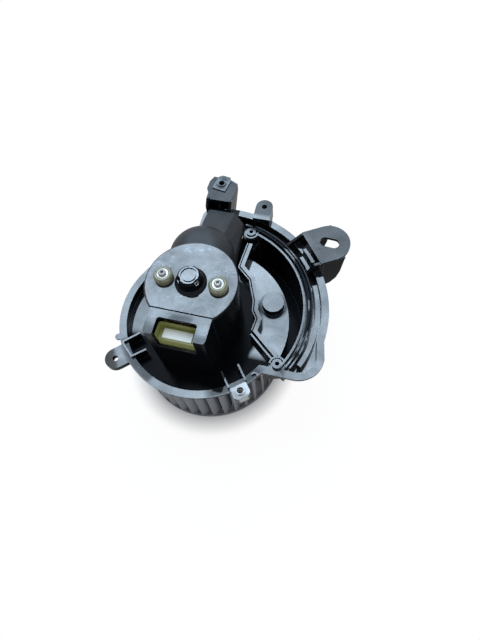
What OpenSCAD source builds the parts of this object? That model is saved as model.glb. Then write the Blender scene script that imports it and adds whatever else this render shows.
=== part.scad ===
// Cabin blower motor of a car: a brushed motor that hangs in a moulded plate
// and turns a forward curved fan wheel below it.
// The motor axis is Z, the fan's lower rim is at z = 0, and the window for the
// wiring plug faces -Y.

/* [Fan wheel] */
// Diameter over the blades
fan_d = 148; // [136:1:152]
// Height of the wheel
fan_h = 70; // [60:1:76]
// Number of blades
blade_n = 40; // [30:1:42]
// Radial depth of a blade
blade_depth = 14; // [11:0.5:16]
// Thickness of a blade
blade_t = 1.6; // [1.2:0.1:2]
// Height of each end ring
fan_ring_h = 4; // [3:0.5:6]
// Thickness of the cone that joins the blades to the hub
cone_t = 2.4; // [2:0.1:3]
// Height of the hub's lower end over the wheel's lower rim
hub_z = 24; // [18:1:27]
// Length of the hub
hub_len = 22; // [16:1:24]

/* [Motor] */
// Diameter of the can
motor_d = 67; // [62:1:69]
// Length of the can without its end plate
can_len = 78; // [74:1:82]
// Sheet thickness of the can and of its end plate
can_t = 2.2; // [1.6:0.1:2.6]
// Diameter of the shaft
shaft_d = 8; // [6:0.5:9]
// Length of a bearing bush
bush_len = 9; // [7:0.5:10]
// Radial clearance of the shaft in its bushes
shaft_gap = 0.03; // [0.02:0.01:0.08]
// Diameter of the armature core
core_d = 44; // [40:1:45]
// Length of the armature core
core_len = 28; // [22:1:30]
// Number of slots in the armature core
slot_n = 12; // [10:1:14]
// Radial thickness of a magnet
magnet_t = 6; // [5:0.5:6.5]
// Diameter of the commutator
comm_d = 22; // [20:1:24]

/* [Motor cover] */
// Outer diameter of the cap
cap_d = 79.8; // [79:0.2:84]
// Wall of the moulded plastic
wall = 2.5; // [2:0.1:3]
// Gap between the motor and the wall of its cover
motor_gap = 3.1; // [2.5:0.1:4]
// Height of the cap over the floor of the plate
cover_h = 75; // [72:1:80]
// Distance from the axis to the straight edge of the cap
chord_y = 28; // [26:0.5:31]
// Width of the plug block in front of the cap
block_w = 52.6; // [48:0.2:54]
// Distance from the axis to the front face of the plug block
block_y = 51.5; // [50:0.5:54]
// Width of the plug window
window_w = 34.5; // [30:0.5:37]
// Depth of the plug window below the block's top
window_h = 25; // [20:1:28]
// Distance between each grommet and the axis
grommet_x = 23.9; // [22:0.1:25]
// Outer diameter of a grommet
grommet_d = 16.6; // [15:0.2:17.4]
// Height of a grommet above the cap
grommet_h = 6; // [4:0.5:7]
// Diameter of the steel washer on a grommet
washer_d = 10; // [9:0.2:11]
// Diameter of the bearing cap's top
boss_d = 19.4; // [18:0.2:21]
// Height of the bearing cap
boss_h = 11.5; // [10:0.5:14]

/* [Mounting plate] */
// Gap between the fan wheel and the plate
fan_gap = 4; // [3:0.5:6]
// Thickness of the plate's floors and rims
plate_t = 3; // [2.5:0.1:3.4]
// Depth of the dish from its rim to its floor
dish_depth = 10; // [8:0.5:12]
// Distance from the fan wheel to the outer edge of the rim
rim_out = 6; // [5:0.5:8]
// Width of the rim
rim_w = 7; // [6:0.5:7.5]
// Outer radius of the wide side of the plate
lobe_r = 117; // [115:0.5:120]
// Width of the outer band on the wide side
band_w = 8; // [6:0.5:9]
// Inner radius of the pocket for the control module
pocket_r = 93.5; // [92:0.5:95]
// Height of the pocket's sealing ribs over the rim
pocket_lip = 4; // [3:0.5:6]
// Depth of the crescent well below the rim
well_depth = 47; // [20:1:52]
// Distance between the fan wheel and the well
well_gap = 5.5; // [4:0.5:6]

/* [Fixing points] */
// Bore of the two ears
ear_bore = 5.5; // [4:0.1:7]
// Thickness of the lower left ear
ear_t = 6; // [4:0.5:8]
// Radius of the big lug's round end
lug_r = 20; // [18:0.5:22]
// Width of the slot in the big lug
slot_w = 10.4; // [8:0.2:12]
// Length of the slot in the big lug
slot_len = 19; // [16:0.5:22]
// Height of the big lug over the rim
lug_rise = 13; // [10:0.5:16]
// Height of the rear bracket over the rim
bracket_rise = 21; // [18:0.5:24]
// Bore of the two screw bosses beside the pocket
boss_bore = 4; // [3:0.1:5]
// Bore of the clip nuts
clip_bore = 6; // [5:0.1:7]
// Sheet thickness of the clip nuts
clip_t = 1; // [0.8:0.1:1.4]

/* [Hidden] */

$fn = 64;
// Clearance between fitted pieces, and between pieces pressed together
fit = 0.15;
press = 0.03;

// Heights along the axis
floor_z = fan_h + fan_gap;
floor_top = floor_z + plate_t;
rim_z = floor_top + dish_depth;
lip_z = rim_z + pocket_lip;
cap_z = floor_top + cover_h;
cap_t = 3;
block_top = cap_z - 1;
well_z = rim_z - well_depth;
shallow_z = rim_z - 22;
lug_z = rim_z + lug_rise;
bracket_z = rim_z + bracket_rise;

// Radii about the axis
fan_r = fan_d / 2;
rim_r = fan_r + rim_out;
rim_in = rim_r - rim_w;
dish_r = rim_in + wall;
motor_r = motor_d / 2;
cap_r = cap_d / 2;
pot_r = motor_r + motor_gap + wall;
well_in = fan_r + well_gap;

// The wide side of the plate and the pocket are round about these points
lobe_c = [0, 11.5];
pocket_c = [-0.5, 11];
corner_c = [lobe_r - 21.4, -18.2];
corner_r = 24.2;
edge_y = -42.4;
lobe_end_c = [-21, lobe_r - 2.7];
lobe_end_r = 12;

// Rings of the pocket's rim, from the inside to the outside
rib_b = pocket_r + 4.3;
rib_c = pocket_r + 7.7;
moat_in = pocket_r + 9;
moat_out = pocket_r + 11.3;
pocket_wall = 2;

// Screw bosses at both ends of the pocket's rim, and the inner wall between them
boss_rear = [23.2, pocket_r + 8];
boss_front = [pocket_r - 13.9, -32.2];
boss_r = 4.6;
inner_wall = [
    boss_rear + [3, -13.5], [24.2, 60.6], [37.6, 49], [42.6, 37.1], [47, 26.8],
    [48.8, 16.2], [54.2, 8.6], [52.9, -4.9], boss_front + [-12.2, 15.2],
    boss_front + [-2.2, 7.2]
];
stub_c = [62, 30];
stub_r = 11;
strip_w = 3.6;

// Fixing points
ear_c = [-68.2, -57.9];
ear_root = [-52, -43];
ear_r = 10;
ear_top = rim_z - 2;
pillar_c = [30.5, lobe_r + 13.3];
pillar_r = 8.7;
pillar_top = rim_z + 10;
lug_c = lobe_r * [0.75, 0.65] + [15.25, 21.55];
lug_dir = 30;
clip_angle = -51.5;
clip_side = 2.6;
clip_s = rim_r + 2.7;
front_ear_top = rim_z + 1;
front_ear_t = 4;
front_ear_w = 14.4;
shelf_t = 3.5;
// Clip nuts: reach inward and outward of their bore, and width
rear_nut = [8, 9, 14.6];
front_nut = [5.5, 6, 15.6];
nut_corner = 7;
rear_hole = lobe_end_c + [4.1, 27.2];
// Far end of the cooling duct
duct_far = lobe_end_c[1] - 2.3;

// Terminal block in the plug window, and the seat of its white cap
terminal_top = block_top - 15;
terminal_h = 33;
terminal_back = 20;
seat_x = -13.8;
seat_y = 4.4;
seat_w = 25.4;
seat_d = 8.6;
seat_depth = 1.2;

// Cooling duct: round shoulder, then the neck with its far end
duct_c = [-15, 57];
duct_r = 32;
duct_round = 24;
duct_low = 29;
neck_near = 36;
neck_left = -22;
neck_right = 16;
neck_far_right = 11.6;
neck_h = 29;
neck_side_h = 12;
neck_far_h = 11;
neck_low_h = 5;
neck_edge = 3;

// Motor, from its end plate down
grommet_low = 6;
end_top = cap_z - cap_t - grommet_low;
can_top = end_top - can_t;
can_z = can_top - can_len;
shaft_r = shaft_d / 2;
bush_r = shaft_r + 4;
cup_t = 2;
magnet_r = motor_r - can_t - press;
core_r = core_d / 2;
core_z = can_z + can_t + bush_len + 9;
comm_z = core_z + core_len + 9;
comm_r = comm_d / 2;
comm_len = 12;
turns_h = 7;
brush_z = comm_z + comm_len / 2;
brush_gap = 0.3;
holder_t = 3;
holder_z = comm_z + comm_len + 1;
shaft_z = hub_z - 5;
shaft_top = end_top + 7;
hub_r = shaft_r + 5;

function unit(v) = v / norm(v);
function across(v) = [-v[1], v[0]];

// Point beside corner i of a line of points, at distance d from both of its legs
function beside(p, i, d) = let (
    u0 = i > 0 ? unit(p[i] - p[i - 1]) : unit(p[1] - p[0]),
    u1 = i < len(p) - 1 ? unit(p[i + 1] - p[i]) : u0,
    n = across(unit(u0 + u1))
) p[i] + n * d / (n * across(u0));

// A strip along a line of points, between two distances from it
module strip2d(p, d0, d1) {
    polygon(concat(
        [for (i = [0 : len(p) - 1]) beside(p, i, d0)],
        [for (i = [len(p) - 1 : -1 : 0]) beside(p, i, d1)]
    ));
}

// A bar of even width along a line of points
module path2d(p, w) {
    strip2d(p, w / 2, -w / 2);
}

// Angle between the points of an arc, finer on a larger radius
function step(r) = r > 60 ? 3 : r > 15 ? 5 : r > 4 ? 9 : 18;

// Points along an arc
function arc(c, r, a0, a1) = let (n = max(2, ceil(abs(a1 - a0) / step(r))))
    [for (i = [0 : n]) c + r * [cos(a0 + (a1 - a0) * i / n), sin(a0 + (a1 - a0) * i / n)]];

// A disc with flat sides, for outlines that meet other curves
module disc2d(r, c = [0, 0]) {
    polygon(arc(c, r, 0, 360 - step(r)));
}

// Discs of two sizes joined by their outer tangents
module link2d(a, ra, b, rb) {
    d = b - a;
    g = atan2(d[1], d[0]);
    t = acos((ra - rb) / norm(d));
    polygon(concat(arc(b, rb, g - t, g + t), arc(a, ra, g + t, g + 360 - t)));
}

module slab(z0, z1) {
    translate([0, 0, z0]) linear_extrude(z1 - z0) children();
}

module at_angle(a) {
    rotate([0, 0, a]) children();
}

// Part of a ring with a rectangular section, about a centre
module arc_wall(c, r0, r1, z0, z1, a0, a1) {
    slab(z0, z1) polygon(concat(arc(c, r0, a0, a1), arc(c, r1, a1, a0)));
}

// Wide side of the plate, drawn in by k
module lobe2d(k) {
    polygon(concat(
        [[20, edge_y + k]],
        arc(corner_c, corner_r - k, -90, 0),
        arc(lobe_c, lobe_r - k, -6, 100),
        arc(lobe_end_c, lobe_end_r - k, 105, 180),
        [[lobe_end_c[0] - lobe_end_r + k, 30]]
    ));
}

// Pocket opening inside its wall, drawn in by k
module pocket2d(k) {
    difference() {
        intersection() {
            disc2d(pocket_r - k, pocket_c);
            polygon(concat(inner_wall, [
                boss_front + [-2.6, 2.2], boss_front + [4.4, -5.8],
                [2 * pocket_r, boss_front[1] - 5.8], 2 * pocket_r * [1, 1],
                [inner_wall[0][0], 2 * pocket_r]
            ]));
        }
        path2d(inner_wall, strip_w + 2 * k);
        for (c = [boss_rear, boss_front]) translate(c) circle(r = boss_r + 3 + k);
    }
}

// Crescent well between the fan wheel and the pocket's wall, widened by k
module well2d(a0, a1, k) {
    polygon(concat(
        arc(pocket_c, pocket_r + k, a0, a1),
        arc([0, 0], well_in + wall - k, a1 + 3, a0 - 1)
    ));
}

module mounting_plate() {
    color("dimgray") difference() {
        union() {
            plate_tray();
            plate_pocket();
            plate_ribs();
            front_left_ear();
            front_ear();
            pillar_ear();
            rear_bracket();
            big_lug();
        }
        plate_cuts();
    }
    color("dimgray") pocket_stub();
}

// Closed stub on the pocket's floor
module pocket_stub() {
    translate([stub_c[0], stub_c[1], floor_top - 1]) {
        cylinder(r = stub_r + 1, h = 2.5);
        cylinder(r1 = stub_r, r2 = stub_r - 0.8, h = 9);
    }
}

module plate_tray() {
    slab(floor_z, floor_top) {
        disc2d(dish_r);
        lobe2d(rim_w);
    }
    slab(floor_z, rim_z) difference() {
        union() {
            disc2d(dish_r);
            lobe2d(rim_w - wall);
        }
        disc2d(rim_in);
        lobe2d(rim_w);
    }
    slab(rim_z - plate_t, rim_z) difference() {
        union() {
            disc2d(rim_r);
            lobe2d(0);
        }
        disc2d(rim_in);
        lobe2d(rim_w);
    }
}

module plate_pocket() {
    arc_wall(pocket_c, pocket_r - band_w, moat_out + 1, floor_z, floor_top, -20, 64);
    arc_wall(pocket_c, pocket_r - 0.5, moat_in, floor_z, rim_z - 3, -31, 76);
    arc_wall(pocket_c, pocket_r, pocket_r + pocket_wall, floor_top, lip_z - 1, -30, 75);
    arc_wall(pocket_c, rib_b, rib_b + 1.6, floor_top, lip_z, -27, 75);
    arc_wall(pocket_c, rib_c, moat_in, floor_top, lip_z - 1, -26, 75);
    arc_wall(pocket_c, moat_out, lobe_r - band_w, floor_z, rim_z + 1, -22, 24);
    slab(floor_z, lip_z - 1) path2d(inner_wall, strip_w);
    // Thin ribs outside the inner wall
    slab(floor_z, lip_z - 1.5) strip2d([for (i = [0 : 7]) inner_wall[i]], -3, -3.9);
    slab(floor_z, lip_z - 3) translate([-3.4, -2.9])
        path2d([for (i = [7 : 9]) inner_wall[i]], 1.6);
    // Screw bosses, each with a collar on the pocket's side
    for (b = [[boss_rear, -150, 10], [boss_front, 26, 186]]) {
        slab(floor_z, rim_z) translate(b[0]) circle(r = boss_r + 3);
        slab(floor_z, lip_z) translate(b[0]) circle(r = boss_r);
        arc_wall(b[0], boss_r + 1.4, boss_r + 2.9, floor_z, lip_z - 1, b[1], b[2]);
    }
    slab(well_z - plate_t, floor_top - 1) well2d(-17, 72, wall);
    slab(shallow_z - plate_t, floor_top - 1) well2d(-29, -14, wall);
}

module plate_ribs() {
    // Rib beside the cooling duct
    slab(floor_z, rim_z - 1) link2d([-36, 25], wall / 2, [-44, 58], wall / 2);
    // Short rib behind the rear boss, and a hooked one on the rim beside the front ear
    slab(floor_z, lip_z - 3) link2d(boss_rear + [-7.6, 9.7], 0.8, boss_rear + [-1.4, 8.4], 0.8);
    slab(rim_z - 1, lip_z - 1)
        path2d([[59.6, -46.6], [61.8, -44.4], [65.2, -45.3], [64.4, -47.1]], 1.2);
}

// Lower left ear with its box of stiffening ribs
module front_left_ear() {
    slab(ear_top - ear_t, ear_top) difference() {
        link2d(ear_c, ear_r, ear_root, ear_r);
        disc2d(rim_in + 1);
    }
    slab(floor_z, lip_z - 1)
        path2d([[-52, -30], [-65, -42], [-64, -44], [-52, -54], [-41, -44.5]], 1.6);
    slab(rim_z - plate_t, rim_z - 1) link2d([-73, -37], 3, [-68, -34], 3);
}

// Ear that carries the front clip nut, in its own frame along the radius
module front_ear() {
    w = front_ear_w;
    at_angle(clip_angle) {
        slab(front_ear_top - front_ear_t, front_ear_top)
            translate([rim_in, clip_side - w / 2]) square([clip_s + front_nut[0] - rim_in, w]);
        for (s = [-1, 1]) slab(floor_z, lip_z)
            translate([60, clip_side + s * (w / 2 + 0.9) - 0.8]) square([rim_r - 63.5, 1.6]);
    }
}

// Hollow pillar with an ear on top, at the edge of the wide side
module pillar_ear() {
    difference() {
        slab(floor_z, pillar_top) pillar2d(0);
        slab(floor_z + plate_t, pillar_top - plate_t) pillar2d(2);
        translate([pillar_c[0] - pillar_r, pillar_c[1] - 2, floor_z - 1])
            cube([2 * pillar_r, 2 * pillar_r, rim_z - 4 - floor_z]);
    }
}

module pillar2d(k) {
    intersection() {
        union() {
            translate(pillar_c) circle(r = pillar_r - k);
            translate([pillar_c[0] - pillar_r + k, pillar_c[1] - 16])
                square([2 * (pillar_r - k), 16]);
        }
        translate(pillar_c - [4 * pillar_r, 18.3]) square(8 * pillar_r);
    }
}

// Rear bracket: a shelf on two gussets, with a rib and a pin between them
module rear_bracket() {
    translate([lobe_end_c[0], lobe_end_c[1], 0]) {
        slab(bracket_z - shelf_t, bracket_z) polygon([
            [-3, 6.7], [-10, 19.7], [-9.5, 29.4], [-6.5, 36.1], [11.8, 34.7],
            [19.8, 30.7], [19.5, 13.5], [17.3, 6.7]
        ]);
        for (x = [-7.4, 17.2]) translate([x, 0, 0]) rotate([90, 0, 90])
            linear_extrude(2.4) polygon([
                [1.7, floor_z], [1.7, bracket_z - 7], [7.7, bracket_z - 0.5],
                [31.7, bracket_z - 0.5], [31.7, bracket_z - 9], [13.7, rim_z - 8],
                [9.7, floor_z]
            ]);
        translate([5, 0, 0]) rotate([90, 0, 90]) linear_extrude(1.8) polygon([
            [4.7, floor_z], [4.7, rim_z], [9.7, bracket_z - 0.5],
            [15.7, bracket_z - 0.5], [11.7, floor_z]
        ]);
        slab(floor_z, rim_z + 3) translate([7, 4.2]) circle(r = 2.8);
    }
}

// Big lug with its slot, on two deep gussets
module big_lug() {
    u = [cos(lug_dir), sin(lug_dir)];
    n = [-u[1], u[0]];
    slab(lug_z - plate_t, lug_z) difference() {
        link2d(lug_c, lug_r, lug_c - 34 * u, lug_r);
        sector_side();
    }
    // Inner end wall
    slab(floor_z, lug_z) intersection() {
        link2d(lug_c, lug_r, lug_c - 34 * u, lug_r);
        difference() {
            translate([2.4, 1.9]) sector_side();
            sector_side();
        }
    }
    // Gussets below both edges
    for (g = [[-1, -30], [1, -38]]) translate(lug_c + g[0] * (lug_r - 1.4) * n)
        rotate([90, 0, lug_dir]) translate([0, 0, -1.25]) linear_extrude(2.5) polygon([
            [9, lug_z - 1], [8, lug_z - 8], [6, lug_z - 25], [3, lug_z - 35],
            [-3, lug_z - 42], [-9, lug_z - 44], [g[1] + 8, lug_z - 44],
            [g[1], floor_z], [g[1], rim_z], [-22, lug_z - 1]
        ]);
    // Floor between the lug and the pocket's wall
    slab(floor_z, floor_top) intersection() {
        difference() {
            link2d(lug_c, lug_r - 1, lug_c - 50 * u, lug_r - 1);
            disc2d(pocket_r + 1, pocket_c);
        }
        translate([1.2, 1]) sector_side();
    }
    arc_wall(pocket_c, moat_out, moat_out + 3.4, floor_z, lip_z - 1, 33, 42);
    arc_wall(pocket_c, lobe_r - 6.2, lobe_r - 3.2, floor_z, rim_z + 8, 35, 44);
}

// Everything on the axis side of the lug's inner edge
module sector_side() {
    translate(lug_c) polygon([
        [-43, 27.4], [-25.6, 2.8], [-5, -23.7], [9, -41.6], [-63, -77.6], [-83, -17.6]
    ]);
}

module plate_cuts() {
    // Seat of the motor can
    translate([0, 0, floor_z - 1]) cylinder(r = pot_r - wall - 0.5, h = 20);
    // Air inlet of the cooling duct
    slab(floor_z - 1, rim_z + 1) intersection() {
        difference() {
            translate([-19, duct_far - 28]) square([32, 22]);
            disc2d(rim_r);
        }
        lobe2d(rim_w);
    }
    for (c = [boss_rear, boss_front])
        translate([c[0], c[1], lip_z - 12]) cylinder(d = boss_bore, h = 13);
    translate([ear_c[0], ear_c[1], 0]) cylinder(d = ear_bore, h = cap_z);
    translate([pillar_c[0], pillar_c[1], pillar_top - 6]) cylinder(d = ear_bore, h = 10);
    // Room for the screws of the two clip nuts
    slab(rim_z - 5, lip_z) at_angle(clip_angle) disc2d(clip_bore / 2 + 1, [clip_s, clip_side]);
    slab(bracket_z - 10, bracket_z + 1) disc2d(clip_bore / 2 + 1, rear_hole);
    // Slot of the big lug
    slab(lug_z - 10, lug_z + 5) at_slot()
        link2d([-(slot_len - slot_w) / 2, 0], slot_w / 2, [(slot_len - slot_w) / 2, 0], slot_w / 2);
    // Open space above the pocket's floor and down its wells
    slab(floor_top, lug_z) pocket2d(0);
    slab(well_z, floor_top + 1) well2d(-15, 70, 0);
    slab(shallow_z, floor_top + 1) well2d(-26, -14, 0);
}

module at_slot() {
    translate(lug_c) rotate(-4) children();
}

module motor_cover() {
    color("gray") difference() {
        union() {
            slab(floor_top, cap_z - 1.5) circle(r = pot_r);
            cover_cap();
            slab(floor_top, block_top) block2d(0);
        }
        slab(floor_top - 1, cap_z - cap_t) circle(r = pot_r - wall);
        slab(floor_top - 1, block_top - wall) difference() {
            block2d(wall);
            circle(r = pot_r - wall - 1);
        }
        // Seam between the cap and the plug block
        slab(cap_z - 2.5, cap_z + 1) translate([-cap_r, -chord_y - 0.8]) square([2 * cap_r, 0.8]);
        plug_window();
        // Air inlet from the cooling duct
        translate([-22, pot_r - 12, rim_z]) cube([36, 20, 26]);
        for (s = [-1, 1]) translate([s * grommet_x, 0, cap_z - cap_t - 1])
            cylinder(d = grommet_d - 5, h = 10);
        translate([0, 0, cap_z - cap_t - 1]) cylinder(r = bush_r + cup_t + 1, h = 10);
    }
}

// Cap with a rounded edge, cut straight along its front
module cover_cap() {
    r = 1.5;
    difference() {
        translate([0, 0, cap_z - cap_t]) rotate_extrude($fn = 128) {
            square([cap_r - r, cap_t]);
            square([cap_r, cap_t - r]);
            translate([cap_r - r, cap_t - r]) circle(r = r, $fn = 32);
        }
        translate([-cap_r, -cap_d - chord_y, cap_z - cap_t - 1]) cube([cap_d, cap_d, 8]);
    }
}

module block2d(k) {
    r = 3;
    hw = block_w / 2 - k;
    fy = -block_y + k;
    polygon([[-hw, 0], [-hw, fy + r], [-hw + r, fy], [hw - r, fy], [hw, fy + r], [hw, 0]]);
    for (s = [-1, 1]) translate([s * (hw - r), fy + r]) circle(r = r, $fn = 32);
}

// Window that opens the top and the front of the plug block
module plug_window() {
    r = 2.5;
    x0 = -window_w / 2 - 0.8;
    x1 = window_w / 2 - 0.8;
    slab(block_top - window_h + r, cap_z + 1) {
        link2d([x0 + r, -chord_y - 10.3], r, [x1 - r, -chord_y - 10.3], r);
        translate([x0, -block_y - 1]) square([window_w, block_y - chord_y - 9]);
    }
    translate([0, -block_y - 1, 0]) rotate([90, 0, 0]) translate([0, 0, -6]) linear_extrude(6)
        link2d([x0 + r, block_top - window_h + r], r, [x1 - r, block_top - window_h + r], r);
}

module cooling_duct() {
    color("darkslategray") difference() {
        union() {
            duct_shoulder(0);
            duct_neck(0);
        }
        duct_shoulder(wall);
        duct_neck(wall);
        translate([0, 0, rim_z - 1]) cylinder(r = pot_r + fit, h = cap_z, $fn = 128);
        translate([0, 0, cap_z - cap_t - fit]) cylinder(r = cap_r + fit, h = 20);
    }
}

// Round shoulder beside the motor cover
module duct_shoulder(k) {
    r = duct_r - k;
    h = cap_z - duct_low - rim_z - k;
    f = duct_round - k;
    z0 = k > 0 ? -1 : 0;
    translate([duct_c[0], duct_c[1], rim_z]) rotate_extrude($fn = 96) {
        translate([0, z0]) square([r - f, h - z0]);
        translate([0, z0]) square([r, h - f - z0]);
        translate([r - f, h - f]) intersection() {
            circle(r = f, $fn = 48);
            square(f + 1);
        }
    }
}

// Neck that falls away to the rear bracket
module duct_neck(k) {
    b = neck_edge;
    z0 = rim_z + (k > 0 ? -1 : 0);
    far_y = duct_far - k;
    left = neck_left + k;
    corner = [neck_far_right - k, far_y - 2 * b];
    hull() {
        for (p = [
            [left, neck_near, neck_h - k], [neck_right - 18 - k, neck_near, neck_h - k],
            [left, far_y, neck_far_h - k], [neck_right - 14 - k, far_y, neck_far_h - k],
            [neck_right - 1 - k, neck_near, neck_side_h - k], [corner[0], corner[1], neck_low_h - k]
        ]) translate([p[0], p[1], rim_z + p[2]]) sphere(r = b, $fn = 20);
        for (p = [
            [left, neck_near], [neck_right - k, neck_near], [left, far_y],
            [neck_right - 13 - k, far_y], corner
        ]) translate([p[0], p[1], z0]) cylinder(r = b, h = 1, $fn = 20);
    }
}

// Cap over the upper bearing, with snap notches in its top edge
module bearing_cap() {
    r = boss_d / 2;
    base_r = r + 3.8;
    color("black") difference() {
        translate([0, 0, cap_z]) rotate_extrude() difference() {
            polygon([
                [0, 0], [base_r, 0], [base_r, 1.2], [r + 1.6, 2.4],
                [r, boss_h - 1.5], [r - 1.5, boss_h], [0, boss_h]
            ]);
            translate([0, -1]) square([shaft_r + 5.4, boss_h - 2]);
        }
        for (a = [100, 215, 330]) rotate([0, 0, a])
            translate([r - 2.2, -2, cap_z + boss_h - 4]) cube([6, 4, 6]);
        translate([0, 0, cap_z + boss_h - 1.2]) difference() {
            cylinder(r = r - 2.8, h = 3);
            translate([0, 0, -1]) cylinder(r = r - 4, h = 5);
        }
    }
}

module grommet(x) {
    r = grommet_d / 2;
    neck = r - 2.5 - fit;
    bore = 3.2;
    color("tan") translate([x, 0, 0]) rotate_extrude() polygon([
        [bore, end_top], [r, end_top], [r, cap_z - cap_t], [neck, cap_z - cap_t],
        [neck, cap_z], [r, cap_z], [r, cap_z + grommet_h - 2],
        [r - 1.6, cap_z + grommet_h], [washer_d / 2 + 0.4, cap_z + grommet_h],
        [washer_d / 2 + 0.4, cap_z + grommet_h - 1.4], [bore, cap_z + grommet_h - 1.4]
    ]);
}

module left_grommet() {
    grommet(-grommet_x);
}

module right_grommet() {
    grommet(grommet_x);
}

module washer(x) {
    color("silver") translate([x, 0, cap_z + grommet_h - 1.4]) difference() {
        cylinder(d = washer_d, h = 1.2);
        translate([0, 0, -1]) cylinder(r = 2.3, h = 4);
    }
}

module left_washer() {
    washer(-grommet_x);
}

module right_washer() {
    washer(grommet_x);
}

// Screw through a grommet into the end plate
module screw(x) {
    seat = cap_z + grommet_h - 0.2;
    color("lightgray") translate([x, 0, 0]) difference() {
        union() {
            translate([0, 0, seat]) cylinder(r = 3.1, h = 1.6);
            translate([0, 0, seat + 1.6]) cylinder(r1 = 3.1, r2 = 2.4, h = 0.6);
            translate([0, 0, end_top - can_t - 3]) cylinder(r = 2.2, h = seat - end_top + can_t + 3.1);
        }
        translate([0, 0, seat + 0.7]) cylinder(r = 1.5, h = 3, $fn = 6);
    }
}

module left_screw() {
    screw(-grommet_x);
}

module right_screw() {
    screw(grommet_x);
}

// Folded spring steel nut: two leaves, a bend at the outer end and a collar
module clip_nut(size, gap) {
    inner = size[0];
    outer = size[1];
    w = size[2];
    t = clip_t;
    difference() {
        union() {
            for (z = [0, -gap - t]) translate([-inner, -w / 2, z]) cube([inner + outer, w, t]);
            translate([outer, w / 2, -gap / 2]) rotate([90, 0, 0]) intersection() {
                difference() {
                    cylinder(r = gap / 2 + t, h = w);
                    translate([0, 0, -1]) cylinder(r = gap / 2, h = w + 2);
                }
                translate([0, -gap, -1]) cube([gap + t, 3 * gap, w + 2]);
            }
            cylinder(d = clip_bore + 3, h = t + 1.2);
        }
        translate([0, 0, -gap - 3 * t]) cylinder(d = clip_bore, h = gap + 8 * t);
        // Corners of the outer end
        for (s = [-1, 1]) translate([outer + 2, s * (w / 2 + 1), -gap - 2 * t])
            rotate([0, 0, 45])
                translate([-nut_corner / 2, -nut_corner / 2, 0])
                    cube([nut_corner, nut_corner, gap + 4 * t]);
    }
}

module rear_clip_nut() {
    color("lightsteelblue") translate([rear_hole[0], rear_hole[1], bracket_z + fit])
        rotate([0, 0, 79]) clip_nut(rear_nut, shelf_t + 2 * fit);
}

module front_clip_nut() {
    color("white") at_angle(clip_angle) translate([clip_s, clip_side, front_ear_top + fit])
        clip_nut(front_nut, front_ear_t + 2 * fit);
}

// Nylon block that holds the plug's terminals
module terminal_block() {
    front = -block_y + wall + fit;
    color("darkkhaki") difference() {
        translate([-window_w / 2, front, terminal_top - terminal_h])
            cube([window_w - 1.6, -terminal_back - front, terminal_h]);
        cylinder(r = motor_r + 1, h = cap_z, $fn = 96);
        terminal_seat(0.1);
    }
}

// Room of the white cap in the block, widened by c
module terminal_seat(c) {
    translate([seat_x - c, -block_y + seat_y - c, terminal_top - seat_depth])
        cube([seat_w + 2 * c, seat_d + 2 * c, 4]);
}

module terminal_cap() {
    color("white") intersection() {
        terminal_seat(0);
        translate([-window_w, -2 * block_y, 0])
            cube([2 * window_w, 2 * block_y, terminal_top - seat_depth + 2.2]);
    }
}

// Drawn can with the cup of the lower bearing in its end
module motor_can() {
    b = bush_r + press;
    color("olive") rotate_extrude($fn = 96) polygon([
        [shaft_r + 1, can_z], [motor_r - 2, can_z], [motor_r, can_z + 2],
        [motor_r, can_top], [motor_r - can_t, can_top],
        [motor_r - can_t, can_z + can_t], [b + cup_t, can_z + can_t],
        [b + cup_t, can_z + can_t + bush_len], [b, can_z + can_t + bush_len],
        [b, can_z + can_t], [shaft_r + 1, can_z + can_t]
    ]);
}

// Steel end plate with the cup of the upper bearing
module end_plate() {
    b = bush_r + press;
    color("silver") difference() {
        rotate_extrude($fn = 96) polygon([
            [b, can_top], [motor_r, can_top], [motor_r, end_top], [b + cup_t, end_top],
            [b + cup_t, end_top + bush_len - can_t], [shaft_r + 1, end_top + bush_len - can_t],
            [shaft_r + 1, end_top + bush_len - 2 * can_t + 0.4],
            [b, end_top + bush_len - 2 * can_t + 0.4]
        ]);
        for (s = [-1, 1]) translate([s * grommet_x, 0, can_top - 1])
            cylinder(r = 2.2 + press, h = can_t + 2);
    }
}

module bush() {
    difference() {
        cylinder(r = bush_r, h = bush_len - can_t);
        translate([0, 0, -1]) cylinder(r = shaft_r + shaft_gap, h = bush_len + 2);
    }
}

module upper_bearing() {
    color("peru") translate([0, 0, end_top - can_t]) bush();
}

module lower_bearing() {
    color("peru") translate([0, 0, can_z + can_t]) bush();
}

module magnet(a) {
    color("dimgray") rotate([0, 0, a - 62]) rotate_extrude(angle = 124, $fn = 96)
        translate([magnet_r - magnet_t, core_z - 3]) square([magnet_t, core_len + 6]);
}

module left_magnet() {
    magnet(180);
}

module right_magnet() {
    magnet(0);
}

// Card that carries the brushes, below the end plate
module brush_holder() {
    r = motor_r - can_t - press;
    color("saddlebrown") difference() {
        union() {
            translate([0, 0, holder_z]) cylinder(r = r, h = can_top - holder_z);
            for (s = [0, 180]) rotate([0, 0, s]) translate([comm_r + 2, -5, brush_z - 5])
                cube([r - comm_r - 6, 10, holder_z - brush_z + 6]);
        }
        translate([0, 0, holder_z - 20]) cylinder(r = comm_r + 1.2, h = 60);
        translate([0, 0, holder_z + holder_t]) cylinder(r = r - 2, h = 60);
        for (s = [0, 180]) rotate([0, 0, s]) translate([comm_r, -3 - fit, brush_z - 3 - fit])
            cube([r - comm_r - 7, 6 + 2 * fit, 6 + 2 * fit]);
        for (s = [-1, 1]) translate([s * grommet_x, 0, holder_z + 1]) cylinder(r = 3.4, h = 40);
    }
}

// Carbon brush, hollowed to the commutator
module brush() {
    color("darkgray") difference() {
        translate([comm_r - 1, -3, brush_z - 3]) cube([11, 6, 6]);
        translate([0, 0, brush_z - 9]) cylinder(r = comm_r + brush_gap, h = 18);
    }
}

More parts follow.
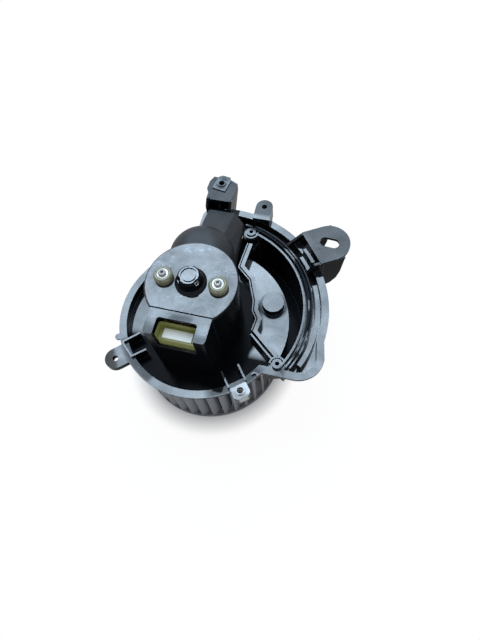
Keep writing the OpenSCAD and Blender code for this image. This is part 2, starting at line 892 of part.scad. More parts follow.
module left_brush() {
    rotate([0, 0, 180]) brush();
}

module right_brush() {
    brush();
}

// Section of a blade: an arc that starts along the radius and leans forward
module blade2d() {
    r = blade_depth * 0.865;
    turn = 80;
    c = [fan_r - blade_depth + 0.6, -r];
    intersection() {
        difference() {
            translate(c) circle(r = r + blade_t / 2, $fn = 48);
            translate(c) circle(r = r - blade_t / 2, $fn = 48);
        }
        polygon([c, c + [0, 2 * r], c + 2 * r * [1, 1], c + 2 * r * [sin(turn), cos(turn)]]);
    }
}

// Forward curved wheel, open below, carried by a cone above
module fan_wheel() {
    in_r = fan_r - blade_depth;
    color("slategray") difference() {
        union() {
            for (i = [0 : blade_n - 1]) rotate([0, 0, 360 * i / blade_n - 3])
                slab(fan_ring_h / 2, fan_h - fan_ring_h / 2) blade2d();
            rotate_extrude($fn = 128) {
                translate([fan_r - 2.4, 0]) square([2.4, fan_ring_h]);
                polygon([
                    [fan_r, fan_h - fan_ring_h], [fan_r, fan_h], [in_r, fan_h],
                    [hub_r + 6, hub_z + hub_len], [0, hub_z + hub_len],
                    [0, hub_z + hub_len - cone_t], [hub_r + 7, hub_z + hub_len - cone_t],
                    [in_r + 1, fan_h - cone_t], [fan_r - 2, fan_h - cone_t],
                    [fan_r - 2, fan_h - fan_ring_h]
                ]);
                translate([0, hub_z]) square([hub_r, hub_len]);
            }
            for (i = [0 : 7]) rotate([0, 0, 45 * i]) rotate([90, 0, 0])
                translate([0, 0, -0.8]) linear_extrude(1.6) polygon([
                    [hub_r - 1, hub_z + 4], [hub_r - 1, hub_z + hub_len - 1],
                    [hub_r + 7, hub_z + hub_len - 1]
                ]);
        }
        translate([0, 0, -1]) cylinder(r = shaft_r + press, h = fan_h + 2);
    }
}

// Push-on spring ring below the hub
module fan_clip() {
    color("silver") translate([0, 0, hub_z - 1 - press]) difference() {
        cylinder(r = shaft_r + 3.4, h = 1);
        translate([0, 0, -1]) cylinder(r = shaft_r + press, h = 3);
        for (i = [0 : 5]) rotate([0, 0, 60 * i])
            translate([shaft_r - 1, -0.6, -1]) cube([2.6, 1.2, 3]);
    }
}

module motor_shaft() {
    color("lightgray") union() {
        translate([0, 0, shaft_z]) cylinder(r1 = shaft_r - 0.8, r2 = shaft_r, h = 0.8);
        translate([0, 0, shaft_z + 0.8]) cylinder(r = shaft_r, h = shaft_top - shaft_z - 0.8);
    }
}

// Stack of laminations with a slot for each coil
module armature_core() {
    color("gray") translate([0, 0, core_z]) difference() {
        cylinder(r = core_r, h = core_len, $fn = 96);
        translate([0, 0, -1]) cylinder(r = shaft_r + press, h = core_len + 2);
        for (i = [0 : slot_n - 1]) rotate([0, 0, 360 * i / slot_n]) {
            translate([core_r - 6.5, 0, -1]) cylinder(r = 2.6, h = core_len + 2, $fn = 24);
            translate([core_r - 5, -0.8, -1]) cube([8, 1.6, core_len + 2]);
        }
    }
}

// Coils: a bar of wire in each slot of the core, and the end turns above and below
module armature_windings() {
    low_z = core_z - turns_h - press;
    high_z = core_z + core_len + press;
    color("chocolate") {
        for (z = [low_z, high_z]) translate([0, 0, z]) rotate_extrude() difference() {
            translate([shaft_r + press, 0]) square([core_r - 4 - shaft_r, turns_h]);
            translate([core_r - 4, z == high_z ? turns_h : 0]) circle(r = 4);
        }
        for (i = [0 : slot_n - 1]) rotate([0, 0, 360 * i / slot_n])
            translate([core_r - 6.5, 0, low_z + 1]) cylinder(r = 2.3, h = high_z - low_z, $fn = 24);
    }
}

module commutator() {
    color("darkgoldenrod") translate([0, 0, comm_z]) difference() {
        cylinder(r = comm_r, h = comm_len);
        translate([0, 0, -1]) cylinder(r = shaft_r + press, h = comm_len + 2);
        for (i = [0 : slot_n - 1]) rotate([0, 0, 360 * i / slot_n])
            translate([comm_r - 1, -0.4, -1]) cube([3, 0.8, comm_len + 2]);
    }
}

mounting_plate();
motor_cover();
cooling_duct();
bearing_cap();
left_grommet();
right_grommet();
left_washer();
right_washer();
left_screw();
right_screw();
rear_clip_nut();
front_clip_nut();
terminal_block();
terminal_cap();
motor_can();
end_plate();
upper_bearing();
lower_bearing();
left_magnet();
right_magnet();
brush_holder();
left_brush();
right_brush();
fan_wheel();
fan_clip();
motor_shaft();
armature_core();
armature_windings();
commutator();
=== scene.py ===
import math

import bpy
from mathutils import Matrix, Vector


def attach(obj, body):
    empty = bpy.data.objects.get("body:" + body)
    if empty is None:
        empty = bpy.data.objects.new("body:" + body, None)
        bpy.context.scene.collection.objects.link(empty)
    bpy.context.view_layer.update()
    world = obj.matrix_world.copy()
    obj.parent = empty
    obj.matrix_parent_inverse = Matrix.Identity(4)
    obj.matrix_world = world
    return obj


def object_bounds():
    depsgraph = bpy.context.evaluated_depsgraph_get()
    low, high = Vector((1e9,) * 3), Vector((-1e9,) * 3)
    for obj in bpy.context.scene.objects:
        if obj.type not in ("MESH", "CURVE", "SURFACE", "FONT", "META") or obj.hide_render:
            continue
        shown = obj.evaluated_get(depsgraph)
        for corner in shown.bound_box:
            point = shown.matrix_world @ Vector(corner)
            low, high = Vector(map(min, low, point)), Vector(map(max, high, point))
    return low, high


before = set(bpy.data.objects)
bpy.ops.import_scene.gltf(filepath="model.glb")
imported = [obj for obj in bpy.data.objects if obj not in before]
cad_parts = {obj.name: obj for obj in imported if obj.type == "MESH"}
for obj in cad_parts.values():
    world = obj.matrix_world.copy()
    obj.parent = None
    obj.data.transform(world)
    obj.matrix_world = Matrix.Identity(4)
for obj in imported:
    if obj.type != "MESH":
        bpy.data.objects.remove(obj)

cadLow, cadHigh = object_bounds()
scene = bpy.context.scene
scene.view_settings.view_transform = "Standard"
print("frame loaded:", len(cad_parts), "nodes")


# Camera where the photographer stood: the motor axis leans away from the lens
shot = {
    "azimuth": 23.2,
    "elevation": 64.0,
    "roll": -9.8,
    "target": (0.0308, 0.0162, 0.060),
    "distance": 0.4814,
    "focalPixels": 480,
    "longSidePixels": 640,
    "sensor": 36,
    "clipStart": 0.01,
}


def makeCamera():
    azimuth, elevation, roll = (math.radians(shot[key]) for key in ("azimuth", "elevation", "roll"))
    back = Vector((
        math.sin(azimuth) * math.cos(elevation),
        -math.cos(azimuth) * math.cos(elevation),
        math.sin(elevation),
    ))
    level = Vector((0, 0, 1)).cross(back).normalized()
    rise = back.cross(level)
    right = math.cos(roll) * level + math.sin(roll) * rise
    up = math.cos(roll) * rise - math.sin(roll) * level
    data = bpy.data.cameras.new("photoCamera")
    data.sensor_width = shot["sensor"]
    data.lens = shot["focalPixels"] / shot["longSidePixels"] * shot["sensor"]
    data.clip_start = shot["clipStart"]
    camera = bpy.data.objects.new("photoCamera", data)
    place = Vector(shot["target"]) + shot["distance"] * back
    turn = Matrix((right, up, back)).transposed().to_4x4()
    camera.matrix_world = Matrix.Translation(place) @ turn
    scene.collection.objects.link(camera)
    scene.camera = camera


makeCamera()
print("camera set")


# Cosines of a turn: from the first to the second a face comes to count as level, and an edge
# stops counting as rounded
facing = {"level": (0.72, 0.97), "edge": (0.80, 0.98), "bevelSamples": 4}

# A ramp can't start below 0, so a coordinate that does is shifted by this first
rampShift = 0.2


# A socket that takes part in Python expressions
class Flow:
    def __init__(self, board, socket):
        self.board = board
        self.socket = socket

    def work(self, operation, first, second):
        return self.board.add("Math", {"operation": operation}, {0: first, 1: second})

    def __add__(self, other):
        return self.work("ADD", self, other)

    def __radd__(self, other):
        return self.work("ADD", other, self)

    def __sub__(self, other):
        return self.work("SUBTRACT", self, other)

    def __rsub__(self, other):
        return self.work("SUBTRACT", other, self)

    def __mul__(self, other):
        return self.work("MULTIPLY", self, other)

    def __rmul__(self, other):
        return self.work("MULTIPLY", other, self)


# One material's or world's node tree
class Board:
    def __init__(self, tree):
        self.tree = tree
        tree.nodes.clear()

    # Any node: its type, its settings, then the values or links of its sockets
    def add(self, kind, settings={}, sockets={}, out=0):
        node = self.tree.nodes.new("ShaderNode" + kind)
        for name, value in settings.items():
            if name == "stops":
                ramp = node.color_ramp
                while len(ramp.elements) < len(value):
                    ramp.elements.new(1)
                for element, (position, grey) in zip(ramp.elements, value):
                    element.position = position
                    element.color = (grey, grey, grey, 1)
            else:
                setattr(node, name, value)
        for name, value in sockets.items():
            if isinstance(value, Flow):
                self.tree.links.new(value.socket, node.inputs[name])
            else:
                node.inputs[name].default_value = value
        return Flow(self, node.outputs[out]) if len(node.outputs) else None

    def place(self):
        return self.add("TexCoord", out="Object")

    def stretched(self, scale, turn=(0, 0, 0)):
        return self.add("Mapping", {}, {"Vector": self.place(), "Scale": scale, "Rotation": turn})

    def noise(self, scale, detail=4, roughness=0.5, distortion=0, vector=None):
        return self.add("TexNoise", {}, {
            "Vector": vector or self.place(), "Scale": scale, "Detail": detail,
            "Roughness": roughness, "Distortion": distortion,
        })

    # From one level before a span to another after it
    def between(self, value, span, levels):
        shift = rampShift if span[0] < 0 else 0
        if shift:
            value = value + shift
        stops = [(position + shift, level) for position, level in zip(span, levels)]
        return self.add("ValToRGB", {"stops": stops}, {"Fac": value})

    def rise(self, value, span):
        return self.between(value, span, (0, 1))

    def fall(self, value, span):
        return self.between(value, span, (1, 0))

    def along(self, axis):
        return self.add("SeparateXYZ", {}, {0: self.place()}, out=axis)

    # Distance from an upright line through a point
    def away(self, x, y):
        flat = self.stretched((1, 1, 0))
        return self.add("VectorMath", {"operation": "DISTANCE"}, {0: flat, 1: (x, y, 0)}, out="Value")

    # 1 within a distance of that line, 0 beyond it
    def near(self, x, y, reach, fade=0.002):
        return self.fall(self.away(x, y), (reach, reach + fade))

    # 1 in a ring round that line, 0 inside and outside it
    def ring(self, x, y, inner, outer):
        return self.between(self.away(x, y), (*inner, *outer), (0, 1, 1, 0))

    def normal(self):
        return self.add("NewGeometry", out="Normal")

    def rounded(self, radius):
        return self.add("Bevel", {"samples": facing["bevelSamples"]}, {"Radius": radius})

    # 0 on walls and undersides, 1 on faces that look up
    def upward(self):
        height = self.add("SeparateXYZ", {}, {0: self.normal()}, out="Z")
        return self.rise(height, facing["level"])

    # 1 on a rounded edge, 0 beside it
    def edges(self, radius):
        turned = self.add(
            "VectorMath", {"operation": "DOT_PRODUCT"}, {0: self.rounded(radius), 1: self.normal()},
            out="Value",
        )
        return self.fall(turned, facing["edge"])

    def blend(self, factor, first, second):
        return self.add("Mix", {"data_type": "RGBA"}, {
            0: factor, 6: (*first, 1), 7: (*second, 1),
        }, out=2)

    # Edges rounded by a hair, then the relief on top
    def relief(self, height, depth, edge):
        return self.add("Bump", {}, {
            "Strength": 1, "Distance": depth, "Height": height, "Normal": self.rounded(edge),
        })

    def surface(self, sockets):
        shader = self.add("BsdfPrincipled", {}, sockets)
        self.add("OutputMaterial", {}, {"Surface": shader})


def newMaterial(name):
    material = bpy.data.materials.new(name)
    material.use_nodes = True
    return material, Board(material.node_tree)


# Painted shade on the plate: where it mirrors the softbox and where that is taken away, in metres.
# A pair is where a mask starts and ends along the axis that its name gives, and a longer row is
# x, y and a distance from them, with its fade. "dark" is the share of the mirror image that a
# mask of painted shade takes away
plateLight = {
    "lit": {
        "leftX": (-0.048, -0.042), "pocketX": (0.020, 0.024), "cornerX": (0.084, 0.088),
        "behindY": (-0.028, -0.022), "aboveWellZ": (0.074, 0.076), "aboveDishZ": (0.0795, 0.0815),
        "coverReach": 0.0565, "pocketGain": 1.5,
    },
    "ribs": {
        "centre": (-0.0005, 0.011), "inner": (0.0968, 0.0974), "outer": (0.1042, 0.1048),
        "fromX": (0.012, 0.020), "noise": 45, "detail": 2, "brokenShadeIn": (0.55, 0.60), "brokenShade": 0.35,
    },
    "rim": {
        "leftEar": (-0.0505, -0.058, 0.0255), "rightEar": (0.050, -0.060, 0.0265),
        "within": (0, 0, 0.0803, 0.0004), "belowZ": (0.0885, 0.0890), "dark": 0.9,
    },
    "stub": {
        "centre": (0.062, 0.030), "inner": (0.0108, 0.0110), "outer": (0.0122, 0.0126),
        "belowZ": (0.0790, 0.0795), "dark": 0.9,
    },
    "lug": {"around": (0.103, 0.0976, 0.045), "aboveZ": (0.094, 0.096), "dark": 0.5},
    "bracket": {"fromY": (0.118, 0.120), "aboveZ": (0.094, 0.096), "dark": 0.75},
}


# Painted light on the plate: 1 where it mirrors the softbox, less under painted shade
def plateShade(board):
    x, y, z = (board.along(axis) for axis in "XYZ")
    lit, ribs, rim, stub, lug, bracket = plateLight.values()
    # Above the well, the dish's left side and the pocket's floor mirror the light; the rest of the
    # floors below the rim get painted shade
    left = board.fall(x, lit["leftX"])
    pocket = board.rise(x, lit["pocketX"]) * (1 - board.near(0, 0, lit["coverReach"]))
    behind = board.rise(y, lit["behindY"])
    aboveWell = board.rise(z, lit["aboveWellZ"])
    aboveDish = board.rise(z, lit["aboveDishZ"])
    corner = board.rise(x, lit["cornerX"]) * (1 - behind)
    floors = (left + pocket * lit["pocketGain"]) * (behind + corner) * aboveWell
    litShare = aboveDish + (1 - aboveDish) * floors
    # Painted shade over the pocket's middle ribs and the grooves between them, broken into dashes by
    # noise
    grooves = board.ring(*ribs["centre"], ribs["inner"], ribs["outer"])
    grooves = grooves * board.rise(x, ribs["fromX"]) * (1 - corner)
    wear = board.between(board.noise(ribs["noise"], ribs["detail"]), ribs["brokenShadeIn"], (1, ribs["brokenShade"]))
    # Painted shadow on the rim beside both front ears
    ears = board.near(*rim["leftEar"]) + board.near(*rim["rightEar"])
    ears = ears * board.near(*rim["within"]) * board.fall(z, rim["belowZ"])
    # Painted shade in a ring round the foot of the stub in the pocket, then dimming the tops of the big
    # lug and the rear bracket
    foot = board.ring(*stub["centre"], stub["inner"], stub["outer"]) * board.fall(z, stub["belowZ"])
    lugTop = board.near(*lug["around"]) * board.rise(z, lug["aboveZ"])
    bracketTop = board.rise(y, bracket["fromY"]) * board.rise(z, bracket["aboveZ"])
    litShare = litShare * (1 - grooves * wear) * (1 - ears * rim["dark"]) * (1 - foot * stub["dark"])
    return litShare * (1 - lugTop * lug["dark"]) * (1 - bracketTop * bracket["dark"])


# The plug block's top is darker towards its front, where less of the softbox's mirror image shows,
# except along its two sides, given as x, y, distance and fade
coverFrontDarkening = {
    "frontY": (-0.0295, -0.0285), "leftSide": (-0.019, -0.034, 0.006, 0.006),
    "rightSide": (0.021, -0.036, 0.006, 0.006), "dark": 0.55,
}


def coverShade(board):
    front = board.fall(board.along("Y"), coverFrontDarkening["frontY"])
    sides = board.near(*coverFrontDarkening["leftSide"]) + board.near(*coverFrontDarkening["rightSide"])
    return 1 - front * (1 - sides) * coverFrontDarkening["dark"]


# Painted shade on the bearing cap below its top: only the top mirrors the softbox
bearingCapLight = {"topZ": (0.158, 0.160), "side": 0.1}


def bearingCapShade(board):
    return board.between(board.along("Z"), bearingCapLight["topZ"], (bearingCapLight["side"], 1))


# What all the moulded plastic shares: each noise, the span in which it shows, and how far it
# dulls the surface or stands in its relief
plasticWear = {
    "patch": {"detail": 3, "roughness": 0.5, "distortion": 0.6}, "patchIn": (0.38, 0.62),
    "smear": {"detail": 6, "roughness": 0.62, "distortion": 0.8}, "smearIn": (0.36, 0.68),
    "smearDepth": 2,
    "grain": {"scale": 650, "detail": 3}, "grainDull": 0.04, "grainDepth": 0.15,
    "rub": {"scale": 1, "detail": 6, "roughness": 0.75, "distortion": 1.4}, "rubIn": (0.54, 0.66),
    "rubScale": (45, 120, 60), "rubTurn": (0, 0, 0.6), "rubDull": 0.12, "rubDepth": 0.3,
    "speck": {"scale": 300, "detail": 4, "roughness": 0.7, "distortion": 0.5},
    "speckIn": (0.55, 0.66), "speckAnywhere": 0.12,
}


# Moulded black plastic: glossy, hazed and scuffed where it looks up. Only faces that look up get
# the coat that mirrors the softbox, so the walls stay dark: painted shade
def mouldedPlastic(name, look):
    material, board = newMaterial(name)
    wear = plasticWear
    up = board.upward()
    # Where the look has a shade mask, it paints shade by taking the coat and the haze away
    if look["shade"]:
        up = up * look["shade"](board)
    patch = board.rise(board.noise(look["patchScale"], **wear["patch"]), wear["patchIn"])
    smear = board.noise(look["smearScale"], **wear["smear"])
    grain = board.noise(**wear["grain"])
    rub = board.noise(vector=board.stretched(wear["rubScale"], wear["rubTurn"]), **wear["rub"])
    rubbed = board.rise(rub, wear["rubIn"])
    clouded = board.rise(smear, wear["smearIn"])
    speck = board.rise(board.noise(**wear["speck"]), wear["speckIn"]) * (rubbed + wear["speckAnywhere"])
    # Dust, smears, scuffs and specks on faces that look up, held back under the painted shade; the
    # rounded edges get a painted highlight in the same haze colour
    dust = up * (look["dust"] + clouded * look["smear"] + rubbed * look["scuff"])
    dust = dust + up * speck * look["specks"] + board.edges(look["edge"]) * look["edgeHighlight"]
    dulled = clouded * look["dull"] + rubbed * wear["rubDull"] + grain * wear["grainDull"]
    height = grain * wear["grainDepth"] + smear * wear["smearDepth"] - rubbed * wear["rubDepth"]
    board.surface({
        "Base Color": board.blend(dust, look["deep"], look["haze"]),
        "Roughness": look["gloss"] + dulled,
        "Coat Weight": up * (look["coat"] + clouded * look["shine"] + patch * look["patches"]),
        "Coat Roughness": look["coatGloss"],
        "Coat IOR": look["coatIor"],
        "Specular IOR Level": look["sheen"],
        "Normal": board.relief(height, look["relief"], look["edge"]),
    })
    return material


# Rubber with blotches, and painted shade on its walls
def rubberMaterial(name, look):
    material, board = newMaterial(name)
    blotch = board.rise(board.noise(**look["blotch"]), look["blotchIn"])
    grain = board.noise(**look["grain"])
    blotchedAndShaded = blotch * look["blotchShare"] + (1 - board.upward()) * look["wallShade"]
    board.surface({
        "Base Color": board.blend(blotchedAndShaded, look["colour"], look["stain"]),
        "Roughness": look["rough"] + grain * look["grainDull"],
        "Normal": board.relief(grain, look["relief"], look["edge"]),
    })
    return material


# What all the metal shares
metalWear = {
    "tarnish": {"detail": 5, "roughness": 0.6, "distortion": 0.5}, "tarnishIn": (0.45, 0.72),
    "tarnishDull": 0.15, "tarnishDepth": 0.5,
    "rolled": {"scale": 1, "detail": 3, "roughness": 0.6}, "rolledDull": 0.12, "relief": 0.00003,
}


# Bright or plated steel, with rolling lines, tarnish and dull patches
def metalMaterial(name, look):
    material, board = newMaterial(name)
    wear = metalWear
    tarnish = board.noise(look["patch"], **wear["tarnish"])
    rolled = board.noise(vector=board.stretched(look["lines"]), **wear["rolled"])
    spotted = board.rise(tarnish, wear["tarnishIn"])
    height = rolled + tarnish * wear["tarnishDepth"]
    board.surface({
        "Base Color": board.blend(spotted, look["colour"], look["stain"]),
        "Metallic": 1,
        "Roughness": look["rough"] + spotted * wear["tarnishDull"] + rolled * wear["rolledDull"],
        "Normal": board.relief(height, wear["relief"], look["edge"]),
    })
    return material


# What all the banded pieces share
bandWear = {
    "detail": 2, "bandShare": 0.6, "mottle": {"scale": 220, "detail": 4}, "mottleShare": 0.3,
    "mottleDull": 0.2, "edge": 0.0002,
}


# Coiled, stacked or fired pieces: a colour with bands across an axis
def bandedMaterial(name, look):
    material, board = newMaterial(name)
    wear = bandWear
    bands = board.add("TexWave", {"bands_direction": look["across"]}, {
        "Vector": board.place(), "Scale": look["bands"], "Distortion": look["wander"],
        "Detail": wear["detail"],
    }, out=1)
    mottle = board.noise(**wear["mottle"])
    darkened = bands * wear["bandShare"] + mottle * wear["mottleShare"]
    board.surface({
        "Base Color": board.blend(darkened, look["colour"], look["dark"]),
        "Metallic": look["metal"],
        "Roughness": look["rough"] + mottle * wear["mottleDull"],
        "Normal": board.relief(bands, look["relief"], wear["edge"]),
    })
    return material


plateLook = {
    "deep": (0.004, 0.0045, 0.006), "haze": (0.25, 0.33, 0.42),
    "dust": 0.0, "smear": 0.05, "scuff": 0.07, "specks": 0.5, "edgeHighlight": 0.55,
    "gloss": 0.12, "dull": 0.10, "sheen": 0.03,
    "coat": 0.50, "shine": 0.26, "patches": 0.32, "coatGloss": 0.05, "coatIor": 1.85,
    "smearScale": 38, "patchScale": 16, "relief": 0.00005, "edge": 0.0005, "shade": plateShade,
}
coverLook = dict(
    plateLook, smear=0.08, scuff=0.26, specks=1.3, coat=0.52, smearScale=60, patchScale=26,
    shade=coverShade,
)
bearingCapLook = dict(
    plateLook, smear=0.12, scuff=0.2, coat=0.9, smearScale=110, shade=bearingCapShade,
)
ductLook = {
    "deep": (0.014, 0.016, 0.019), "haze": (0.10, 0.11, 0.125),
    "dust": 0.05, "smear": 0.16, "scuff": 0.12, "specks": 0.6, "edgeHighlight": 0.2,
    "gloss": 0.46, "dull": 0.10, "sheen": 0.3,
    "coat": 0.0, "shine": 0.1, "patches": 0, "coatGloss": 0.4, "coatIor": 1.5,
    "smearScale": 55, "patchScale": 20, "relief": 0.00008, "edge": 0.0008, "shade": None,
}
fanLook = dict(
    ductLook, deep=(0.17, 0.18, 0.20), haze=(0.32, 0.33, 0.37), gloss=0.38, smearScale=90,
)
blockLook = dict(
    ductLook, deep=(0.27, 0.28, 0.08), haze=(0.42, 0.42, 0.20), gloss=0.35, smearScale=120,
)
terminalLook = dict(
    ductLook, deep=(0.94, 0.95, 0.88), haze=(0.98, 0.98, 0.94), gloss=0.30, smearScale=160,
)
holderLook = dict(ductLook, deep=(0.12, 0.05, 0.02), haze=(0.25, 0.13, 0.06), smearScale=150)
brushLook = dict(ductLook, deep=(0.02, 0.02, 0.02), haze=(0.10, 0.10, 0.10), smearScale=200)

# The stain colour serves the grommet's blotches and the painted shade on its walls
grommetLook = {
    "colour": (0.38, 0.37, 0.25), "stain": (0.14, 0.14, 0.09), "rough": 0.45,
    "blotch": {"scale": 180, "detail": 5, "roughness": 0.65}, "blotchIn": (0.4, 0.7),
    "blotchShare": 0.6, "wallShade": 0.4,
    "grain": {"scale": 1400, "detail": 3}, "grainDull": 0.15, "relief": 0.00005, "edge": 0.0004,
}

nutLook = {
    "colour": (0.30, 0.32, 0.33), "stain": (0.12, 0.13, 0.14), "rough": 0.34, "patch": 110,
    "lines": (40, 900, 40), "edge": 0.0003,
}
# The rear clip nut wears a darker copy of the same steel: painted shade
shadedNutLook = dict(nutLook, colour=(0.10, 0.11, 0.12), stain=(0.04, 0.045, 0.05), rough=0.42)
washerLook = dict(nutLook, colour=(0.44, 0.44, 0.43), stain=(0.20, 0.20, 0.19), rough=0.40)
screwLook = dict(washerLook, colour=(0.24, 0.24, 0.23), stain=(0.11, 0.11, 0.10))
canLook = dict(nutLook, colour=(0.58, 0.58, 0.54), stain=(0.36, 0.35, 0.30), rough=0.34, patch=60)
shaftLook = dict(nutLook, colour=(0.66, 0.66, 0.66), stain=(0.42, 0.40, 0.37), lines=(20, 20, 1500))
bronzeLook = dict(nutLook, colour=(0.55, 0.36, 0.17), stain=(0.30, 0.19, 0.09), rough=0.4)

windingLook = {
    "colour": (0.60, 0.22, 0.07), "dark": (0.18, 0.05, 0.02), "metal": 0.7, "rough": 0.25,
    "across": "Z", "bands": 260, "wander": 1.5, "relief": 0.0004,
}
coreLook = dict(
    windingLook, colour=(0.34, 0.34, 0.35), dark=(0.10, 0.10, 0.11), metal=0.9, rough=0.35,
    bands=320, wander=0, relief=0.00015,
)
commutatorLook = dict(
    windingLook, colour=(0.62, 0.32, 0.16), dark=(0.34, 0.15, 0.07), metal=1, bands=90, wander=0.6,
    relief=0.00004,
)
magnetLook = dict(
    windingLook, colour=(0.05, 0.05, 0.055), dark=(0.02, 0.02, 0.02), metal=0, rough=0.55,
    bands=40, wander=6, relief=0.00005,
)

# Which finish each node wears
finishes = {
    "mounting_plate": (mouldedPlastic, plateLook),
    "motor_cover": (mouldedPlastic, coverLook),
    "cooling_duct": (mouldedPlastic, ductLook),
    "bearing_cap": (mouldedPlastic, bearingCapLook),
    "left_grommet": (rubberMaterial, grommetLook),
    "right_grommet": (rubberMaterial, grommetLook),
    "left_washer": (metalMaterial, washerLook),
    "right_washer": (metalMaterial, washerLook),
    "left_screw": (metalMaterial, screwLook),
    "right_screw": (metalMaterial, screwLook),
    "rear_clip_nut": (metalMaterial, shadedNutLook),
    "front_clip_nut": (metalMaterial, nutLook),
    "terminal_block": (mouldedPlastic, blockLook),
    "terminal_cap": (mouldedPlastic, terminalLook),
    "motor_can": (metalMaterial, canLook),
    "end_plate": (metalMaterial, canLook),
    "upper_bearing": (metalMaterial, bronzeLook),
    "lower_bearing": (metalMaterial, bronzeLook),
    "left_magnet": (bandedMaterial, magnetLook),
    "right_magnet": (bandedMaterial, magnetLook),
    "brush_holder": (mouldedPlastic, holderLook),
    "left_brush": (mouldedPlastic, brushLook),
    "right_brush": (mouldedPlastic, brushLook),
    "fan_wheel": (mouldedPlastic, fanLook),
    "fan_clip": (metalMaterial, nutLook),
    "motor_shaft": (metalMaterial, shaftLook),
    "armature_core": (bandedMaterial, coreLook),
    "armature_windings": (bandedMaterial, windingLook),
    "commutator": (bandedMaterial, commutatorLook),
}


def dressNodes():
    made = {}
    for node, (maker, look) in finishes.items():
        key = (maker.__name__, id(look))
        if key not in made:
            made[key] = maker(node + "Finish", look)
        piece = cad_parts[node]
        if not piece.material_slots:
            piece.data.materials.append(made[key])
        for place in piece.material_slots:
            place.material = made[key]


dressNodes()
print("nodes dressed:", len(finishes))

# Thin wall that closes the rear bracket between its gussets, as (y, z) points
bracketWall = {
    "from": -0.0262, "to": -0.0036, "thickness": 0.002,
    "outside": ((0.1455, 0.0992), (0.1278, 0.0792), (0.1240, 0.0742)),
}

# Lip of the terminal block along three sides of the plug window, as (x, y) corners
blockLip = {
    "from": 0.1355, "to": 0.1440, "thickness": 0.0007, "rounding": 0.0018, "steps": 5,
    "left": -0.0172, "right": 0.0156, "front": -0.0488, "back": -0.0367,
}


# Joins two rings of points into a closed solid that rides on the housing
def addSolid(name, first, second, dressedAs):
    count = len(first)
    faces = [tuple(range(count))[::-1], tuple(range(count, 2 * count))]
    faces += [(i, (i + 1) % count, (i + 1) % count + count, i + count) for i in range(count)]
    mesh = bpy.data.meshes.new(name)
    mesh.from_pydata(first + second, [], faces)
    mesh.materials.append(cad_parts[dressedAs].material_slots[0].material)
    solid = bpy.data.objects.new(name, mesh)
    scene.collection.objects.link(solid)
    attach(solid, "housing")


def makeBracketWall():
    outside = list(bracketWall["outside"])
    ring = outside + [(y - bracketWall["thickness"], z) for y, z in outside[::-1]]
    ends = [[(x, y, z) for y, z in ring] for x in (bracketWall["from"], bracketWall["to"])]
    addSolid("bracketWall", ends[0], ends[1], "mounting_plate")


# Points along the lip at a distance outside its inner face
def lipLine(offset):
    radius = blockLip["rounding"] + offset
    line = [(blockLip["left"] - offset, blockLip["front"])]
    for side, start in (("left", 180), ("right", 90)):
        inward = blockLip["rounding"] if side == "left" else -blockLip["rounding"]
        for step in range(blockLip["steps"] + 1):
            angle = math.radians(start - 90 * step / blockLip["steps"])
            line.append((
                blockLip[side] + inward + radius * math.cos(angle),
                blockLip["back"] - blockLip["rounding"] + radius * math.sin(angle),
            ))
    return line + [(blockLip["right"] + offset, blockLip["front"])]


def makeBlockLip():
    ring = lipLine(0) + lipLine(blockLip["thickness"])[::-1]
    ends = [[(x, y, z) for x, y in ring] for z in (blockLip["from"], blockLip["to"])]
    addSolid("blockLip", ends[1], ends[0], "terminal_block")


makeBlockLip()
makeBracketWall()
print("bracket wall and block lip made")


# Pale floor that reads white behind the part and keeps a soft shadow
floorLook = {
    "colour": (0.80, 0.80, 0.80), "whiteShare": 0.92, "white": 1.04, "reach": 3.0,
    "gap": 0.0002, "clearFrom": (0.070, 0.095),
}


def seenDirectly(board):
    path = {name: board.add("LightPath", out=name) for name in (
        "Is Camera Ray", "Is Glossy Ray", "Is Transmission Ray",
    )}
    return path["Is Camera Ray"] + path["Is Glossy Ray"] + path["Is Transmission Ray"]


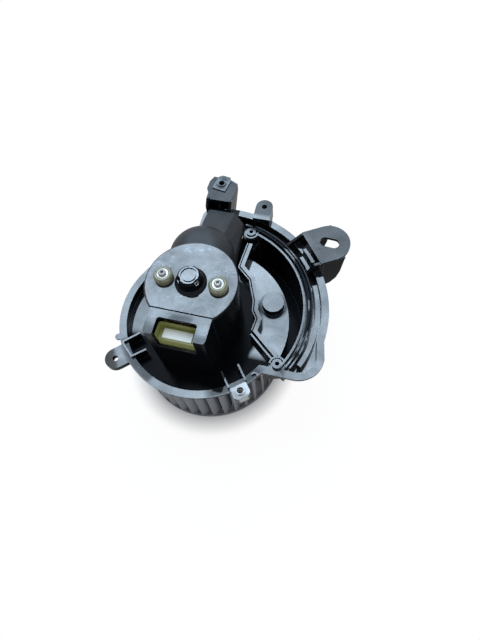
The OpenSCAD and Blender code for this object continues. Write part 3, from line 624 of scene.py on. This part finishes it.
def makeFloor():
    reach = floorLook["reach"]
    height = cadLow.z - floorLook["gap"]
    mesh = bpy.data.meshes.new("floor")
    corners = [(x * reach, y * reach, height) for x, y in ((-1, -1), (1, -1), (1, 1), (-1, 1))]
    mesh.from_pydata(corners, [], [(0, 1, 2, 3)])
    floor = bpy.data.objects.new("floor", mesh)
    scene.collection.objects.link(floor)
    material, board = newMaterial("floorPaint")
    matt = board.add("BsdfDiffuse", {}, {"Color": (*floorLook["colour"], 1)})
    glow = board.add("Emission", {}, {"Strength": floorLook["white"]})
    # Under the wheel the floor keeps its full shadow
    radius = board.add("VectorMath", {"operation": "LENGTH"}, {0: board.place()}, out="Value")
    clear = board.rise(radius, floorLook["clearFrom"])
    share = seenDirectly(board) * clear * floorLook["whiteShare"]
    shader = board.add("MixShader", {}, {0: share, 1: matt, 2: glow})
    board.add("OutputMaterial", {}, {"Surface": shader})
    mesh.materials.append(material)


# The softbox stands where level faces mirror it towards the camera
lightLook = {
    "softboxPlace": (-0.17, 0.50, 0.95),
    "softboxSize": (0.80, 0.75),
    "softboxPower": 10.0,
    "softboxColour": (0.62, 0.81, 1.0),
    "fillPlace": (0.55, -0.75, 0.75),
    "fillSize": (0.9, 0.9),
    "fillPower": 2.0,
    "fillColour": (1.0, 0.98, 0.96),
    "aim": (0.02, 0.03, 0.09),
    "skyColour": (0.88, 0.93, 1.0),
    "skyStrength": 0.32,
}


def makeLight(name):
    data = bpy.data.lights.new(name, "AREA")
    data.shape = "RECTANGLE"
    data.size, data.size_y = lightLook[name + "Size"]
    data.energy = lightLook[name + "Power"]
    data.color = lightLook[name + "Colour"]
    light = bpy.data.objects.new(name, data)
    light.location = lightLook[name + "Place"]
    towards = Vector(lightLook["aim"]) - light.location
    light.rotation_mode = "QUATERNION"
    light.rotation_quaternion = towards.to_track_quat("-Z", "Y")
    scene.collection.objects.link(light)


def makeSky():
    world = bpy.data.worlds.new("studioSky")
    world.use_nodes = True
    scene.world = world
    board = Board(world.node_tree)
    sky = board.add("Background", {}, {
        "Color": (*lightLook["skyColour"], 1), "Strength": lightLook["skyStrength"],
    })
    white = board.add("Background", {}, {"Color": (1, 1, 1, 1), "Strength": 1})
    shader = board.add("MixShader", {}, {0: seenDirectly(board), 1: sky, 2: white})
    board.add("OutputWorld", {}, {"Surface": shader})


makeFloor()
makeLight("softbox")
makeLight("fill")
makeSky()
print("floor, lights and sky made")
